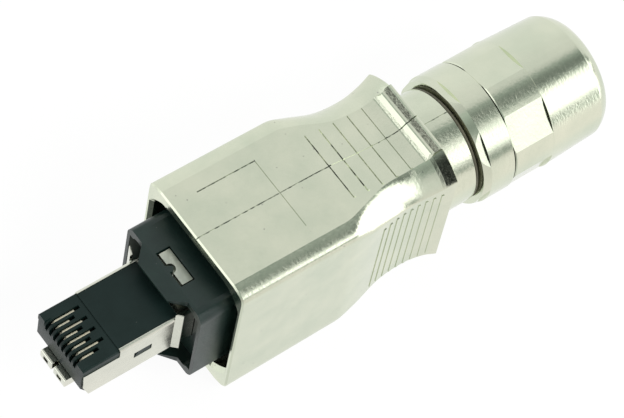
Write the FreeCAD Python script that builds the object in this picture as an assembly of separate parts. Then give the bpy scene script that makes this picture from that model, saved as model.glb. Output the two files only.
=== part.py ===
import FreeCAD, Part
import math
import os
from FreeCAD import Vector

# Field termination ethernet plug: a metal push-pull hood with a cable gland behind
# and an eight-contact modular plug in front. Lengths are in millimetres.
# +X runs from the plug's nose to the cable end, +Z is the contact side, and the
# origin is the centre of the nose on the hood's axis.

# Clearances
TOUCH = 0.02              # between pieces that sit on each other
RUN = 0.05                # radial, on turning and threaded fits
SLIDE = 0.3               # between the sliding carrier and the casting

# Modular plug
PLUG_W = 11.68            # width over the sheet shield
PLUG_TOP = 5.45           # top of the shield's folded lips above the hood's axis
PLUG_BOTTOM = -2.88       # underside of the shield
PLUG_LEN = 16.8           # plastic body
SHEET = 0.25              # shield and latch sheet thickness
LIP_START = 6.4           # where the shield folds over the plug's top
LIP_W = 0.5
SIDE_TOP = 3.7            # height of the shield's sides in front of the lips
SHIELD_REAR = PLUG_LEN + 5.5
NOSE_BOTTOM = 0.0
SNAP_X, SNAP_L = 9.1, 3.1         # side windows that snap over teeth on the body
SNAP_Z, SNAP_H = 0.75, 1.4
EAR_X = PLUG_LEN - 0.9    # flared ears at the rear of the sides
EAR_FLARE = 0.85          # how far the right ear leans out, and the left one
EAR_FLARE_LEFT = 1.45
CONTACT_COUNT = 8
CONTACT_PITCH = 1.02
CONTACT_T = 0.35
SLOT_W = 0.58
BLADE_DEPTH = 0.45        # blade edge below the plug's top face
LONG_BLADE = 5.0
SHORT_BLADE = 3.5
TAIL_Z = 3.08
TAIL_H = 0.4

# Latch under the plug
LATCH_W = 6.1
LATCH_NOSE_X = -1.0
LATCH_NOSE_TOP = PLUG_BOTTOM + 2.12
LATCH_NOSE_H = 1.85
LATCH_REACH = PLUG_LEN - 3.2
LATCH_DROP = 2.1
LATCH_ROOT_X = 1.2

# Hood casting
HOOD_X = PLUG_LEN + 6.0   # front rim
HOOD_W = 23.66
HOOD_H = 28.2
HOOD_LEN = 40.2           # rim to the collar's rear face
CORNER_W = 2.75           # front corners: broad on top, tight at the side
CORNER_H = 2.4
CORNER_LEAN = 0.21        # slope of the corner's broad start, as a facet beside the flat top
HOOD_WALL_Y = 1.1
HOOD_WALL_Z = 2.4
STRAIGHT_LEN = 20.4       # drafted front part, before the waist
WAIST_DROP = 0.45         # height lost by draft on each side over the straight part
HOOD_EDGE = 0.25          # broken edge of the front rim and the rear face
REAR_WALL = 5.0
KEYWAY_W = 14.8           # grooves in the cavity's roof and floor
KEYWAY_DEPTH = 0.7
RIB_H = 0.16
RIB_COUNT = 5
RIB_PITCH = 2.67
SIDE_RIB_COUNT = 9
SIDE_RIB_PITCH = 1.35
RIDGE_W = 13.0            # stepped ridge in front of the collar's face
PARTING_W = 0.18          # fine groove where the casting's dies met
PARTING_DEEP = 0.09
NECK_LEN = 6.4
WAIST_X = HOOD_X + STRAIGHT_LEN
COLLAR_X = HOOD_X + HOOD_LEN
NECK_END = COLLAR_X + NECK_LEN

# Black push-pull frame
FRAME_GAP_Y = 1.43        # open slot between frame and casting, for the socket's wall
FRAME_GAP_Z = 2.6
FRAME_W = HOOD_W - 2 * (HOOD_WALL_Y + FRAME_GAP_Y)
FRAME_H = HOOD_H - 2 * (HOOD_WALL_Z + FRAME_GAP_Z)
FRAME_X = HOOD_X - 5.0    # front of the cheeks
FRAME_TONGUE_L = 2.1      # how far the tongues stand in front of the cheeks
FRAME_TONGUE_W = 7.4
FRAME_WALL_Y = 1.4
FRAME_WALL_Z = 1.3
FRAME_CORNER = 1.9
WINDOW_X = FRAME_X + 0.6
WINDOW_L = 2.45
WINDOW_W = 6.5
FLANGE_X = HOOD_X + 7.7
FLANGE_L = 7.0
LUG_X = FLANGE_X + 2.5    # square front of the snap lugs that hold the frame in the hood
LUG_L = 2.0
LUG_W = 5.0
LUG_BITE = 0.4            # how far a lug reaches into its pocket
TRAVEL = 3.0              # push of the inner plug into the hood
FRAME_TONGUE_X = FRAME_X - FRAME_TONGUE_L
FLANGE_END = FLANGE_X + FLANGE_L
CAVITY_STEP_X = FLANGE_END + TRAVEL + 0.5

# Inner metal covers
COVER_X = FRAME_X + 0.4
COVER_FRONT_WALL = FRAME_X + 3.2
COVER_REAR = COLLAR_X - REAR_WALL - TRAVEL - 1.0
COVER_WALL = 0.8
PORCH_W = WINDOW_W + 1.4  # tab of the upper cover that shows in the frame's window
COVER_GAP = 0.1           # covers to frame
COVER_PORT_R = 5.4        # where the cable enters the covers

# Circuit board and wire managers
BOARD_T = 1.0
BOARD_FRONT = SHIELD_REAR - 2.8
BOARD_REAR = SHIELD_REAR + 16.7
LEDGE_W = 1.4             # ledges along both covers that hold the board's edges
LEDGE_H = 0.63
MANAGER_X = SHIELD_REAR + 2.2
MANAGER_L = 9.5
WIRE_R = 0.8
WIRE_Z = 4.3
IDC_X = MANAGER_X + 2.5
IDC_W = 1.9
IDC_T = 0.4
IDC_COUNT = 4

# Cable gland
SPIGOT_R = 7.7
SPIGOT_L = 8.7
SEAL_L = 0.8
NECK_R = SPIGOT_R + 1.8
GLAND_THREAD_R = 8.9
THREAD_L = 10.9
GLAND_BORE = 5.2
GLAND_SEAT_R = GLAND_THREAD_R - 1.7
GLAND_SEAT_L = 8.5
NUT_R = GLAND_THREAD_R + 1.9
NUT_REAR_R = NUT_R - 0.45
NUT_FACE_R = NUT_R - 2.1
NUT_STEP = 0.07           # where the wrench flats' zone ends
NUT_LEN = 19.3
NUT_GAP = 0.1             # to the ring when tight
NUT_FLAT_L = 7.3
NUT_ROUND_L = 2.2
NUT_END_WALL = 2.8
RING_R = NUT_R - 0.05
RING_L = 5.9
RING_FLAT_L = 1.3
RING_BEVEL = 0.35
FLAT_COUNT = 6            # wrench flats with the round skin between them
FLAT_SPREAD = 33.0        # degrees of the round that each takes
FLAT_TURN = 46.0
CAGE_BORE = GLAND_SEAT_R - 1.1
CABLE_HOLE_R = 4.8
GROMMET_BORE = 4.6
RING_X = NECK_END + SEAL_L
RING_END = RING_X + RING_L
GLAND_END = RING_END + THREAD_L
GLAND_SEAT_X = GLAND_END - GLAND_SEAT_L
SPIGOT_X = RING_X - SPIGOT_L
NUT_X = RING_END + NUT_GAP
NUT_END = NUT_X + NUT_LEN
NUT_FLAT_END = NUT_X + NUT_FLAT_L
NUT_ROUND_X = NUT_END - NUT_ROUND_L
GROMMET_END = GLAND_END + 2.6
CAGE_END = NUT_END - NUT_END_WALL - 1.35

# Shield clamp
CLAMP_X = COVER_REAR - 8.0
CLAMP_L = 5.0
CLAMP_T = 0.5
CABLE_R = 3.6             # cable shield under the clamp
SCREW_R = 0.78
SCREW_HEAD_R = 1.25
SCREW_Y = CABLE_R + CLAMP_T + SCREW_HEAD_R + 0.2

# Return springs
SPRING_Z = FRAME_H / 2 + 1.1
SPRING_R = 0.93
SPRING_WIRE = 0.2
SPRING_TURNS = 7
POCKET_R = SPRING_R + SPRING_WIRE + 0.17
POCKET_DEPTH = 5.5


def box(x0, x1, y0, y1, z0, z1):
    return Part.makeBox(x1 - x0, y1 - y0, z1 - z0, Vector(x0, y0, z0))


def bar(x0, x1, half_w, half_h, z=0.0):
    """A block centred on the axis, or at height z."""
    return box(x0, x1, -half_w, half_w, z - half_h, z + half_h)


def cyl_x(r, x0, x1, y=0.0, z=0.0):
    return Part.makeCylinder(r, x1 - x0, Vector(x0, y, z), Vector(1, 0, 0))


def turned(profile):
    """Turn a closed outline of (x, radius) points about the X axis."""
    pts = [Vector(x, 0, r) for x, r in profile]
    face = Part.Face(Part.makePolygon(pts + pts[:1]))
    return face.revolve(Vector(0, 0, 0), Vector(1, 0, 0), 360)


def slab(outline, y0, y1):
    """Push a closed (x, z) outline along Y."""
    pts = [Vector(x, y0, z) for x, z in outline]
    return Part.Face(Part.makePolygon(pts + pts[:1])).extrude(Vector(0, y1 - y0, 0))


def plan(outline, z0, z1):
    """Push a closed (x, y) outline along Z."""
    pts = [Vector(x, y, z0) for x, y in outline]
    return Part.Face(Part.makePolygon(pts + pts[:1])).extrude(Vector(0, 0, z1 - z0))


def mirror_z(shape):
    return shape.mirror(Vector(0, 0, 0), Vector(0, 0, 1))


def mirror_y(shape):
    return shape.mirror(Vector(0, 0, 0), Vector(0, 1, 0))


def long_edges(shape, test):
    """Straight edges along X whose middle passes the test on (y, z)."""
    found = []
    for e in shape.Edges:
        a, b = e.Vertexes[0].Point, e.Vertexes[-1].Point
        if abs(a.y - b.y) < 1e-6 and abs(a.z - b.z) < 1e-6 and abs(a.x - b.x) > 1e-3:
            if test(a.y, a.z):
                found.append(e)
    return found


def rounded_bar(x0, x1, half_w, half_h, r, z=0.0):
    shape = bar(x0, x1, half_w, half_h, z)
    return shape.makeFillet(r, long_edges(shape, lambda y, z: True))


def section(x, half_w, half_h, corner_w, corner_h, full, shoulder=None, lean=0.0):
    """A closed section at x: four straight sides joined by corner curves.

    full is 0.55 for a round corner and lower for one that is nearly a flat facet. shoulder is
    the same for the curve's end on top, and lean is the slope with which it leaves the top."""
    shoulder = full if shoulder is None else shoulder
    edges = []
    corners = []
    for sy, sz in ((1, 1), (-1, 1), (-1, -1), (1, -1)):
        on_side = Vector(x, sy * half_w, sz * (half_h - corner_h))
        on_top = Vector(x, sy * (half_w - corner_w), sz * half_h)
        tip = Vector(x, sy * half_w, sz * half_h)
        poles = [on_side, on_side + (tip - on_side) * full,
                 on_top + (tip - on_top) * shoulder
                 - Vector(0, 0, sz * lean * corner_w * shoulder), on_top]
        corners.append(poles if sy * sz > 0 else poles[::-1])
    for i, poles in enumerate(corners):
        curve = Part.BezierCurve()
        curve.setPoles(poles)
        edges.append(curve.toShape())
        edges.append(Part.makeLine(poles[-1], corners[(i + 1) % 4][0]))
    return Part.Wire(edges)


def front_half_height():
    return HOOD_H / 2 - WAIST_DROP


def waist_shape(t):
    """Loss of half width and half height, and the corner's width, height and two fullnesses.

    t runs from 0 where the waist begins to 1 at the collar; a smooth curve joins the stations."""
    stations = [(0.0, 0.0, 0.0, CORNER_W, CORNER_H, 0.75, 0.78),
                (0.18, 0.30, 0.25, 3.3, 2.9, 0.34, 0.62),
                (0.45, 1.35, 1.15, 3.9, 3.2, 0.16, 0.50),
                (0.70, 1.55, 1.60, 4.0, 3.0, 0.16, 0.50),
                (0.88, 1.15, 1.15, 4.3, 3.0, 0.16, 0.48),
                (1.0, 0.70, 0.20, 4.6, 3.0, 0.16, 0.45)]
    i = max(k for k in range(len(stations) - 1) if stations[k][0] <= t + 1e-9)
    a, b = stations[i], stations[i + 1]
    before, after = stations[max(i - 1, 0)], stations[min(i + 2, len(stations) - 1)]
    span = b[0] - a[0]
    u = (t - a[0]) / span
    values = []
    for k in range(1, 7):
        slope_a = (b[k] - before[k]) / (b[0] - before[0]) * span if i else 0.0
        slope_b = (after[k] - a[k]) / (after[0] - a[0]) * span
        values.append(a[k] * (1 + 2 * u) * (1 - u) ** 2 + slope_a * u * (1 - u) ** 2
                      + b[k] * u * u * (3 - 2 * u) + slope_b * u * u * (u - 1))
    return values


def waist_sections(grow, grow_y):
    steps = 36
    sections = []
    for n in range(steps + 1):
        t = n / steps
        dw, dh, *corner = waist_shape(t)
        sections.append(section(WAIST_X + t * (COLLAR_X - HOOD_EDGE - WAIST_X),
                                HOOD_W / 2 - dw + grow_y, front_half_height() - dh + grow,
                                *corner, CORNER_LEAN))
    dw, dh, *corner = waist_shape(1.0)
    sections.append(section(COLLAR_X, HOOD_W / 2 - dw + grow_y - HOOD_EDGE,
                            front_half_height() - dh + grow - HOOD_EDGE, *corner, CORNER_LEAN))
    return sections


def hood_outer(grow=0.0, grow_y=0.0):
    """The casting's outside; grow lifts its top and bottom, grow_y its sides."""
    fronts = [section(x, HOOD_W / 2 + grow_y - e, HOOD_H / 2 + grow - e,
                      CORNER_W - e, CORNER_H - e, 0.75, 0.78, CORNER_LEAN)
              for x, e in ((HOOD_X, HOOD_EDGE), (HOOD_X + HOOD_EDGE, 0.0))]
    return Part.makeLoft(fronts + waist_sections(grow, grow_y), True, True)


def grip_ribs():
    """Fine raised ribs across the waist's top and bottom and on its sides, and the ridges."""
    comb = []
    for i in range(RIB_COUNT):
        x = WAIST_X + 3.7 + i * RIB_PITCH
        comb.append(box(x - 0.17, x + 0.17, -6.2, 6.2, -HOOD_H, HOOD_H))
    ribs = hood_outer(RIB_H).common(Part.makeCompound(comb))
    comb = []
    for i in range(SIDE_RIB_COUNT):
        x = WAIST_X + 6.8 + i * SIDE_RIB_PITCH
        comb.append(box(x - 0.2, x + 0.2, -HOOD_W, HOOD_W, 5.1 - HOOD_H / 2, HOOD_H / 2 - 6.1))
    ribs = ribs.fuse(hood_outer(0.0, 0.1).common(Part.makeCompound(comb)))
    ridge = collar_ridge()
    return ribs.fuse([ridge, mirror_z(ridge)])


def collar_ridge():
    """A ridge that rises out of the waist in two slopes with a small step between them."""
    top = front_half_height()
    low = waist_shape((COLLAR_X - 3.7 - WAIST_X) / (COLLAR_X - WAIST_X))[1]
    low = top - low
    x = COLLAR_X
    outline = [(x - 4.4, low - 1.0), (x - 3.9, low - 0.05), (x - 3.45, low + 0.04),
               (x - 3.05, low + 0.2), (x - 2.7, low + 0.46), (x - 2.05, low + 1.03),
               (x - 1.85, low + 1.12), (x - 1.7, low + 1.1), (x - 1.5, low + 1.12),
               (x - 0.75, low + 1.62), (x - 0.5, low + 1.72), (x - 0.25, low + 1.7),
               (x - 0.08, low + 1.58), (x - 0.02, low + 1.4), (x - 0.02, low - 1.0)]
    ridge = slab(outline, -RIDGE_W / 2, RIDGE_W / 2)
    ends = []
    for s in (-1, 1):
        ends.append(slab([(x - 5, low + 0.9), (x - 5, low + 3), (x + 1, low + 3), (x + 1, low + 0.9)],
                         s * (RIDGE_W / 2 - 0.45), s * (RIDGE_W / 2 + 1)))
        ends[-1].rotate(Vector(0, s * (RIDGE_W / 2 - 0.45), low + 0.9), Vector(1, 0, 0), -s * 50)
    return ridge.cut(Part.makeCompound(ends))


def parting_groove():
    """What lies over the casting's skin in a thin slice down its middle."""
    slice_ = bar(HOOD_X - 1, NECK_END + 1, PARTING_W / 2, HOOD_H)
    skin = hood_outer(-PARTING_DEEP)
    return slice_.cut(skin).cut(cyl_x(NECK_R - PARTING_DEEP, COLLAR_X - 0.5, NECK_END + 2))


def cavity_half():
    """Half width and half height of the hood's front cavity."""
    return HOOD_W / 2 - HOOD_WALL_Y, HOOD_H / 2 - HOOD_WALL_Z


def cavity_block(x0, x1, inset=0.0):
    """The cavity's section with its broad corners, or one inset from it all round."""
    half_w, half_h = cavity_half()
    ends = [section(x, half_w - inset, half_h - inset, 3.2, 3.0, 0.2) for x in (x0, x1)]
    return Part.makeLoft(ends, True, True)


def cavity():
    half_w, half_h = cavity_half()
    space = cavity_block(HOOD_X - 1, CAVITY_STEP_X)
    mouth = section(HOOD_X - 0.01, half_w + 0.5, half_h + 0.5, 3.4, 3.2, 0.3)
    throat = section(HOOD_X + 0.6, half_w, half_h, 3.2, 3.0, 0.2)
    space = space.fuse(Part.makeLoft([mouth, throat], True, True))
    space = space.fuse(bar(HOOD_X - 1, CAVITY_STEP_X, KEYWAY_W / 2, half_h + KEYWAY_DEPTH))
    rear_end = COLLAR_X - REAR_WALL
    half = FRAME_W / 2 - FRAME_WALL_Y - COVER_GAP
    rear = rounded_bar(CAVITY_STEP_X - 1, rear_end, half + SLIDE, SPRING_Z + 0.4, 2.0)
    rails = []
    for y in (-5.0, 5.0):
        for side in (-1, 1):
            inner = FRAME_H / 2 - FRAME_WALL_Z - COVER_GAP + SLIDE
            z0, z1 = sorted((side * inner, side * HOOD_H / 2))
            rails.append(box(CAVITY_STEP_X, rear_end + 1, y - 0.8, y + 0.8, z0, z1))
    for side in (-1, 1):
        z0, z1 = sorted((side * (SPRING_Z - POCKET_R), side * HOOD_H / 2))
        rails.append(box(CAVITY_STEP_X, CAVITY_STEP_X + 3, -1.8, 1.8, z0, z1))
    space = space.fuse(rear.cut(Part.makeCompound(rails)))
    pockets = bar(LUG_X, LUG_X + LUG_L + TRAVEL + SLIDE, half_w + LUG_BITE + 0.1,
                  LUG_W / 2 + SLIDE)
    return space.fuse(pockets)


def snap_lugs(half_w):
    """Hooks on the flange's sides: square in front, ramped behind for assembly."""
    x1 = LUG_X + LUG_L
    base = half_w - 2 * SLIDE
    lug = plan([(LUG_X + TOUCH, base), (LUG_X + TOUCH, half_w + LUG_BITE),
                (LUG_X + 0.7, half_w + LUG_BITE), (x1, base)], -LUG_W / 2, LUG_W / 2)
    return [lug, mirror_y(lug)]


def scribed_label():
    """A plain rectangular outline cut into the top, as an insert leaves it."""
    line, deep = 0.2, 0.12
    top = HOOD_H / 2
    x0, x1, half = HOOD_X + 4.6, HOOD_X + 15.0, 6.5
    slope = WAIST_DROP / (WAIST_X - HOOD_X)
    grooves = []
    for a, b, c, d in ((x1 - line, x1, -half, half), (x0, x1, half - line, half)):
        z0 = top - (a - HOOD_X) * slope
        z1 = top - (b - HOOD_X) * slope
        grooves.append(slab([(a, z0 - deep), (b, z1 - deep), (b, top + 1), (a, top + 1)], c, d))
    return Part.makeCompound(grooves)


def hood():
    shape = hood_outer().fuse(grip_ribs())
    shape = shape.fuse(cyl_x(NECK_R, COLLAR_X - 1, NECK_END))
    shape = shape.cut(cavity())
    shape = shape.cut(cyl_x(SPIGOT_R + RUN, COLLAR_X - REAR_WALL - 1, NECK_END + 1))
    return shape.cut(Part.makeCompound([scribed_label(), parting_groove()]))


def frame_outer():
    half_w, half_h = FRAME_W / 2, FRAME_H / 2
    rear = FLANGE_END
    shell = rounded_bar(FRAME_TONGUE_X, rear, half_w, half_h, FRAME_CORNER)
    tongue = FRAME_TONGUE_W / 2
    slant = FRAME_X - FRAME_TONGUE_X
    nose = plan([(FRAME_TONGUE_X, -tongue), (FRAME_X, -tongue - slant), (FRAME_X, -half_w - 1),
                 (rear, -half_w - 1), (rear, half_w + 1), (FRAME_X, half_w + 1),
                 (FRAME_X, tongue + slant), (FRAME_TONGUE_X, tongue)], -half_h, half_h)
    ramp = slab([(FRAME_TONGUE_X, half_h - 0.9), (FRAME_X + 0.4, half_h), (rear, half_h),
                 (rear, -half_h), (FRAME_X + 0.4, -half_h), (FRAME_TONGUE_X, 0.9 - half_h)],
                -half_w, half_w)
    return shell.common(nose).common(ramp)


def frame_inner_half():
    return FRAME_W / 2 - FRAME_WALL_Y, FRAME_H / 2 - FRAME_WALL_Z


def latch_frame():
    half_w, half_h = cavity_half()
    in_w, in_h = frame_inner_half()
    rear = FLANGE_END
    shape = frame_outer()
    flange = cavity_block(FLANGE_X, rear, SLIDE)
    key = bar(FLANGE_X, rear, KEYWAY_W / 2 - SLIDE, half_h + KEYWAY_DEPTH - SLIDE)
    shape = shape.fuse([flange, key] + snap_lugs(half_w))
    shape = shape.cut(rounded_bar(FRAME_TONGUE_X - 1, rear + 1, in_w, in_h, 1.0))
    for side in (-1, 1):
        shape = shape.cut(cyl_x(POCKET_R, rear - POCKET_DEPTH, rear + 1, z=side * SPRING_Z))
    window = box(WINDOW_X, WINDOW_X + WINDOW_L, -WINDOW_W / 2, WINDOW_W / 2, 0, FRAME_H)
    tooth = plan([(WINDOW_X - 0.01, 0.8), (WINDOW_X + 0.85, 0.35), (WINDOW_X + 0.95, 0.05),
                  (WINDOW_X + 0.5, -0.5), (WINDOW_X - 0.01, -0.4)], 0, FRAME_H)
    shape = shape.cut(window.cut(tooth))
    # cheeks thinned towards the front, and a wall round the plug's shield
    thin = plan([(FRAME_X - 0.5, in_w - 0.1), (FRAME_X - 0.5, in_w + 0.9), (FRAME_X, in_w + 0.75),
                 (FRAME_X + 1.8, in_w - 0.1)], 0.6 - in_h, in_h - 0.6)
    wall = bar(COVER_FRONT_WALL - 1.25, COVER_FRONT_WALL - TOUCH, in_w + 0.1, in_h + 0.1)
    wall = wall.cut(shield_tube(COVER_FRONT_WALL - 3, COVER_FRONT_WALL + 1, 0.1))
    wall = wall.cut(box(COVER_FRONT_WALL - 3, COVER_FRONT_WALL + 1, -PORCH_W / 2 - 0.1,
                        PORCH_W / 2 + 0.1, in_h - COVER_GAP - COVER_WALL - 0.1, in_h))
    return shape.cut(Part.makeCompound([thin, mirror_y(thin)])).fuse(wall)


def face_seal():
    outer = cavity_block(FLANGE_X - 1.2, FLANGE_X - TOUCH, 2 * SLIDE)
    hole = rounded_bar(FLANGE_X - 2, FLANGE_X, FRAME_W / 2 + TOUCH, FRAME_H / 2 + TOUCH,
                       FRAME_CORNER)
    return outer.cut(hole)


def shield_tube(x0, x1, grow=0.0):
    z0, z1 = PLUG_BOTTOM - grow, PLUG_TOP + grow
    return rounded_bar(x0, x1, PLUG_W / 2 + grow, (z1 - z0) / 2, 0.45, (z1 + z0) / 2)


def plug_shield():
    x0 = 0.25
    tube = shield_tube(x0, SHIELD_REAR).cut(shield_tube(x0 - 1, SHIELD_REAR + 1, -SHEET))
    top_open = box(x0 - 1, PLUG_LEN, LIP_W - PLUG_W / 2, PLUG_W / 2 - LIP_W, 0, 9)
    low_front = box(x0 - 1, LIP_START, -PLUG_W, PLUG_W, SIDE_TOP, 9)
    chin = slab([(x0 - 1, 1.6), (x0, 0.4), (1.6, PLUG_BOTTOM), (1.6, -9), (x0 - 1, -9)],
                -PLUG_W, PLUG_W)
    belly = box(x0 - 1, PLUG_LEN - 1.3, -LATCH_W / 2 - 0.3, LATCH_W / 2 + 0.3, -9, 0)
    windows = box(SNAP_X, SNAP_X + SNAP_L, -PLUG_W, PLUG_W, SNAP_Z, SNAP_Z + SNAP_H)
    shape = tube.cut(Part.makeCompound([top_open, low_front, chin, belly, windows]))
    return shape.fuse([shield_ear(EAR_FLARE), mirror_y(shield_ear(EAR_FLARE_LEFT))])


def shield_ear(flare):
    """Edge of the shield's right side, bent out and standing a little over its top."""
    side = -PLUG_W / 2
    ear = plan([(EAR_X, side + SHEET), (EAR_X, side), (EAR_X + 0.85, side - flare),
                (EAR_X + 1.1, side - flare + 0.1), (EAR_X + 0.4, side + SHEET)],
               PLUG_BOTTOM + 0.4, PLUG_TOP + 1.45)
    return ear.cut(box(0, 30, -PLUG_W / 2, PLUG_W / 2, PLUG_TOP - 0.01, 9))


def slot_y(i):
    return (CONTACT_COUNT - 1) / 2 * CONTACT_PITCH - i * CONTACT_PITCH


def blade_length(i):
    return LONG_BLADE if i % 2 == 0 else SHORT_BLADE


def tail_outline(grow=0.0):
    """Side view of a contact's tail: straight through the body, then down to the board."""
    z0, z1 = TAIL_Z - grow, TAIL_Z + TAIL_H + grow
    b0, b1 = BOARD_T / 2 + TOUCH, BOARD_T / 2 + TOUCH + TAIL_H
    bend, land, end = PLUG_LEN + 0.5, PLUG_LEN + 2.9, SHIELD_REAR - 0.5
    return [(0.95 - grow, z0), (bend, z0), (land, b0), (end, b0), (end, b1), (land + 0.2, b1),
            (bend + 0.2, z1), (0.95 - grow, z1)]


def plug_body():
    top = PLUG_TOP - SHEET
    inner = PLUG_W / 2 - SHEET - TOUCH
    nose_half = PLUG_W / 2 - 0.12
    side = [(0, NOSE_BOTTOM), (0, top - TOUCH), (PLUG_LEN, top - TOUCH),
            (PLUG_LEN, PLUG_BOTTOM + SHEET + TOUCH), (1.7, PLUG_BOTTOM + SHEET + TOUCH)]
    core = slab(side, -inner, inner)
    core = core.makeFillet(0.5, long_edges(core, lambda y, z: z > NOSE_BOTTOM or z < -1))
    cap = box(0, LIP_START - TOUCH, -nose_half, nose_half, SIDE_TOP + TOUCH,
              top - TOUCH)
    cap = cap.makeFillet(0.35, long_edges(cap, lambda y, z: z > 4))
    spine = box(0, PLUG_LEN, LIP_W + TOUCH - PLUG_W / 2, PLUG_W / 2 - LIP_W - TOUCH, 4, top + 0.15)
    spine = spine.common(box(LIP_START - TOUCH, PLUG_LEN, -9, 9, 0, 9))
    shape = core.fuse([cap, spine])
    # the comb's rounded front, over the slots
    span = CONTACT_COUNT / 2 * CONTACT_PITCH + 0.1
    r = 1.25
    edge = box(-1, r, -span, span, top - r, top + 1).cut(
        Part.makeCylinder(r, 2 * span + 2, Vector(r, -span - 1, top - TOUCH - r), Vector(0, 1, 0)))
    shape = shape.cut(edge)
    cuts = []
    for i in range(CONTACT_COUNT):
        y = slot_y(i)
        cuts.append(box(-1, blade_length(i) + 0.6, y - SLOT_W / 2, y + SLOT_W / 2,
                        TAIL_Z + TAIL_H, top + 1))
        half = CONTACT_T / 2 + TOUCH
        cuts.append(slab(tail_outline(TOUCH), y - half, y + half))
    shape = shape.cut(Part.makeCompound(cuts))
    groove = box(-1, PLUG_LEN - 2, -LATCH_W / 2 - 0.25, LATCH_W / 2 + 0.25, -9, LATCH_NOSE_TOP + 0.35)
    shape = shape.cut(groove)
    # snap teeth that fill the shield's side windows
    x0, x1 = SNAP_X + 0.2, SNAP_X + SNAP_L - 0.2
    z0, z1 = SNAP_Z + 0.1, SNAP_Z + SNAP_H - 0.1
    tooth = slab([(x0, z0), (x1, z0), (x1, z1), (x0 + 0.6, z1)], inner - 0.1, PLUG_W / 2 - 0.06)
    return shape.fuse([tooth, mirror_y(tooth)])


def contact(i):
    """A blade that stands in its slot, and its tail."""
    top = PLUG_TOP - SHEET - BLADE_DEPTH
    x1 = blade_length(i)
    blade = slab([(1.0, TAIL_Z + 0.1), (1.0, top - 0.5), (1.4, top), (x1 - 0.25, top),
                  (x1, top - 0.3), (x1, TAIL_Z + 0.1)], -CONTACT_T / 2, CONTACT_T / 2)
    tail = slab(tail_outline(), -CONTACT_T / 2, CONTACT_T / 2)
    shape = blade.fuse(tail)
    shape.translate(Vector(0, slot_y(i), 0))
    return shape.removeSplitter()


def plug_latch():
    """Folded sheet lever: a hollow nose box, a sprung blade and a narrower press end."""
    t = SHEET
    half = LATCH_W / 2
    z1 = LATCH_NOSE_TOP
    z0 = z1 - LATCH_NOSE_H
    nose = box(LATCH_NOSE_X, 1.6, -half, half, z0, z1)
    nose = nose.makeFillet(0.4, [e for e in nose.Edges
                                 if abs(e.CenterOfMass.x - LATCH_NOSE_X) < 1e-6
                                 and abs(e.CenterOfMass.y) < 1e-6])
    hollow = box(LATCH_NOSE_X + t, 3, t - half, half - t, z0 + t, z1 - t)
    slit = box(LATCH_NOSE_X - 1, LATCH_NOSE_X + 1.1, -0.35, 0.35, z0 - 1, z1 + 1)
    ports = [box(LATCH_NOSE_X - 1, LATCH_NOSE_X + 0.9, y - 0.55, y + 0.55, z0 + 0.55, z1 - 0.45)
             for y in (-1.7, 1.7)]
    shape = nose.cut(Part.makeCompound([hollow, slit] + ports))
    x1, x2 = LATCH_ROOT_X, LATCH_REACH
    zb = z0 - LATCH_DROP
    blade = slab([(x1, z0), (x1, z0 + t), (3.0, z0 + t), (x2 - 1.2, zb + t), (x2, zb + t),
                  (x2, zb), (x2 - 1.2, zb), (3.0, z0)], -half, half)
    step = 0.6 * x2
    waist = Part.makeCompound([box(step, x2 + 1, 1.7, half + 1, zb - 1, z0 + 1),
                               box(step, x2 + 1, -half - 1, -1.7, zb - 1, z0 + 1)])
    return shape.fuse(blade.cut(waist)).removeSplitter()


def cover_half():
    in_w, in_h = frame_inner_half()
    return in_w - COVER_GAP, in_h - COVER_GAP


def inner_cover(upper):
    """One half of the metal shell around the board; the halves meet at the axis."""
    hw, hh = cover_half()
    shape = rounded_bar(COVER_X, COVER_REAR, hw, hh, 0.9)
    hollow = bar(COVER_FRONT_WALL + COVER_WALL, COVER_REAR - COVER_WALL,
                 hw - COVER_WALL, hh - COVER_WALL)
    porch = bar(COVER_X - 1, COVER_FRONT_WALL, hw + 1, hh - COVER_WALL)
    sides = Part.makeCompound([box(COVER_X - 1, COVER_FRONT_WALL, a, b, -hh - 1, hh + 1)
                               for a, b in ((PORCH_W / 2, hw + 1), (-hw - 1, -PORCH_W / 2))])
    shape = shape.cut(hollow).cut(porch).cut(sides)
    shape = shape.cut(shield_tube(COVER_X - 1, SHIELD_REAR + 1, TOUCH))
    shape = shape.cut(cyl_x(COVER_PORT_R, COVER_REAR - 2, COVER_REAR + 1))
    # ledges that carry the board
    z0 = BOARD_T / 2 + TOUCH
    y0, y1 = ledge_inner(), ledge_inner() + LEDGE_W
    ledge = Part.makeCompound([
        box(COVER_FRONT_WALL + 2.2, BOARD_REAR - 0.5, a, b, z0, z0 + LEDGE_H)
        for a, b in ((y0, y1), (-y1, -y0))])
    half = box(COVER_X - 1, COVER_REAR + 1, -hw - 1, hw + 1, TOUCH / 2, hh + 1)
    shape = shape.common(half).fuse(ledge)
    if upper:
        return shape
    shape = mirror_z(shape).cut(bar(COVER_X - 1, COVER_FRONT_WALL, hw + 1, hh + 1))
    posts = []
    for s in (-1, 1):
        post = Part.makeCylinder(1.35, hh - COVER_WALL - SHEET + 0.1,
                                 Vector(CLAMP_X, s * SCREW_Y, COVER_WALL - hh - 0.1))
        hole = Part.makeCylinder(SCREW_R + RUN, 5, Vector(CLAMP_X, s * SCREW_Y, -5.2))
        posts.append(post.cut(hole))
    saddle = box(CLAMP_X - CLAMP_L / 2, CLAMP_X + CLAMP_L / 2, -3.3, 3.3, COVER_WALL - hh - 0.1,
                 -CABLE_R + 1.6).cut(cyl_x(CABLE_R, CLAMP_X - 5, CLAMP_X + 5))
    return shape.fuse(posts + [saddle])


def ledge_inner():
    """Half of the open width between the ledges."""
    return cover_half()[0] - COVER_WALL - LEDGE_W + 0.05


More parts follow.
